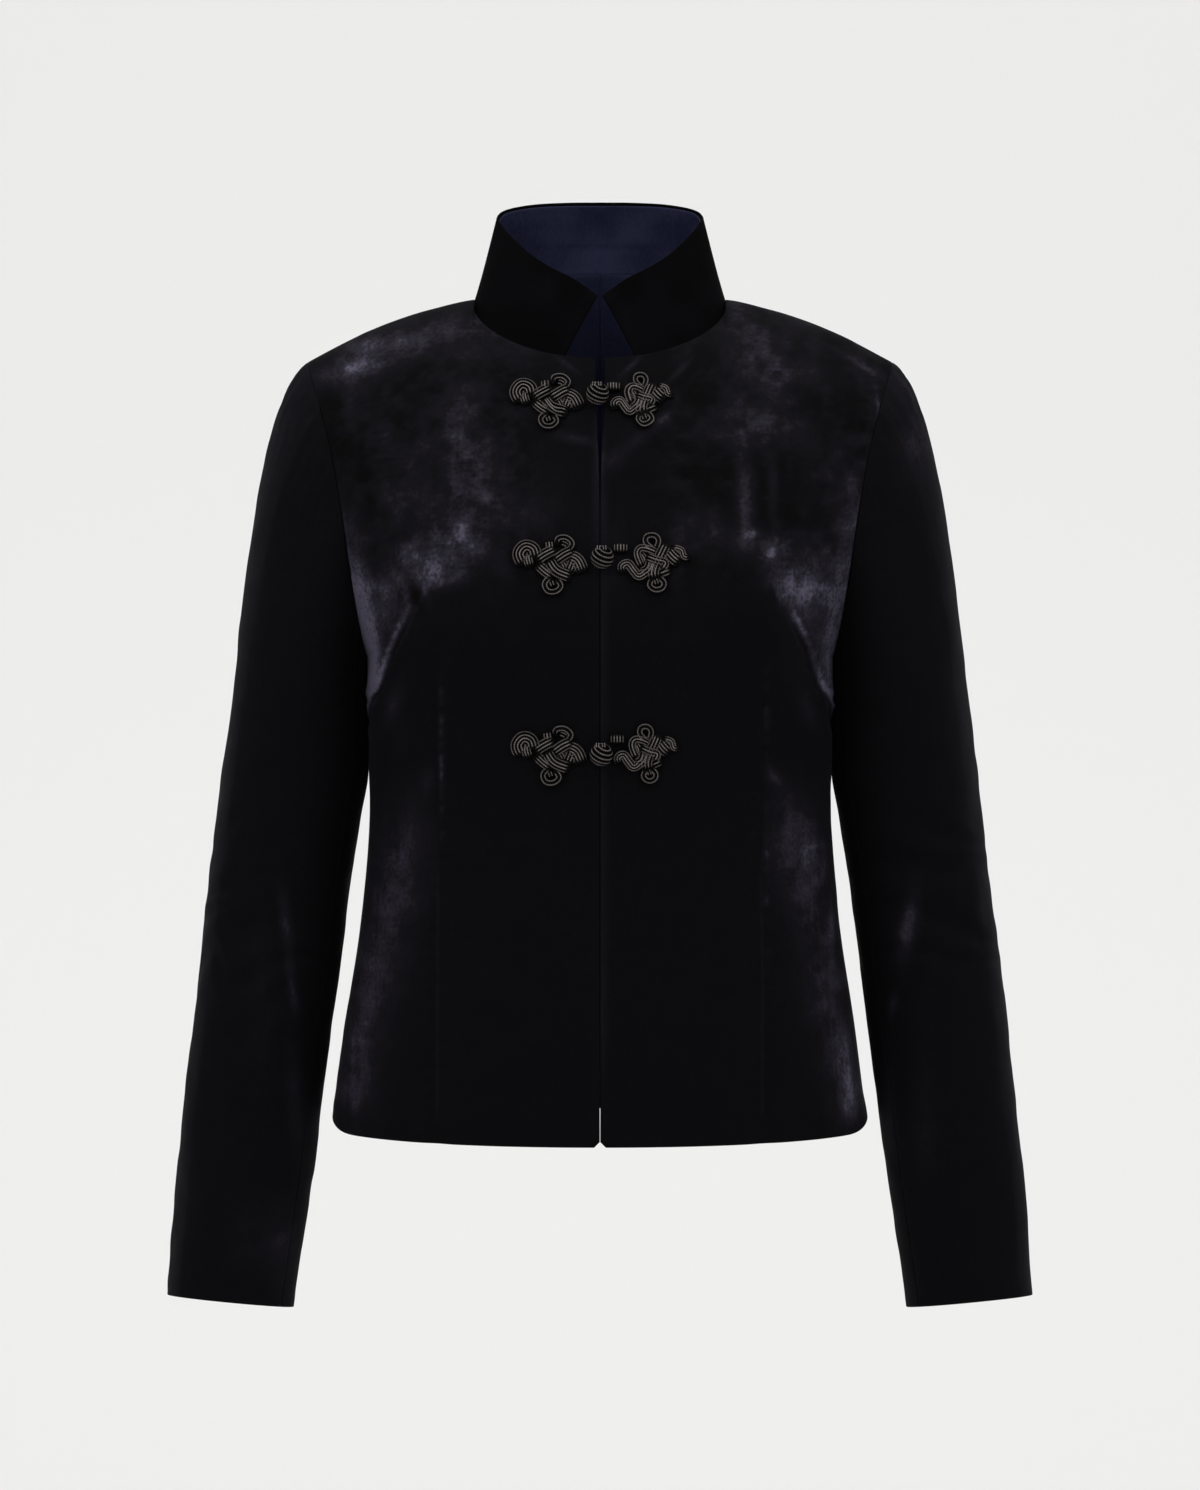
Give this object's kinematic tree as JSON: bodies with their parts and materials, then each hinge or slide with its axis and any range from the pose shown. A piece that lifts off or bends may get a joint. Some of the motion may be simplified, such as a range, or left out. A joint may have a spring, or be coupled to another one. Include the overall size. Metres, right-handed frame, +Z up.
{
  "type": "short velvet jacket with a stand collar and frog fastenings",
  "caption": "Fitted short velvet jacket with a stand collar, two-piece long sleeves and knotted frog fastenings, hollow as worn.",
  "frame": {"origin": "middle of the neck, level with the tops of the shoulders at the neck, where the wearer holds it", "axes": "+Z up, +X to the wearer's left, the front faces -Y"},
  "size_m": [0.557, 0.24, 0.722],
  "materials": {
    "velvet": "black velvet with a dark blue cast, its nap lighter where it turns from the eye",
    "satin": "navy satin lining with a soft gloss",
    "braid": "black cord with dull bronze-brown threads laid side by side"
  },
  "bodies": {
    "root": {"front_left": "velvet", "front_right": "velvet", "back": "velvet", "sleeve_upper_left": "velvet", "sleeve_under_left": "velvet", "sleeve_upper_right": "velvet", "sleeve_under_right": "velvet", "collar": "velvet", "collar_facing": "satin", "lining_back_left": "satin", "lining_back_right": "satin", "frog_top_right": "braid", "frog_top_left": "braid", "frog_top_knot": "braid", "frog_middle_right": "braid", "frog_middle_left": "braid", "frog_middle_knot": "braid", "frog_bottom_right": "braid", "frog_bottom_left": "braid", "frog_bottom_knot": "braid"}
  },
  "joints": []
}
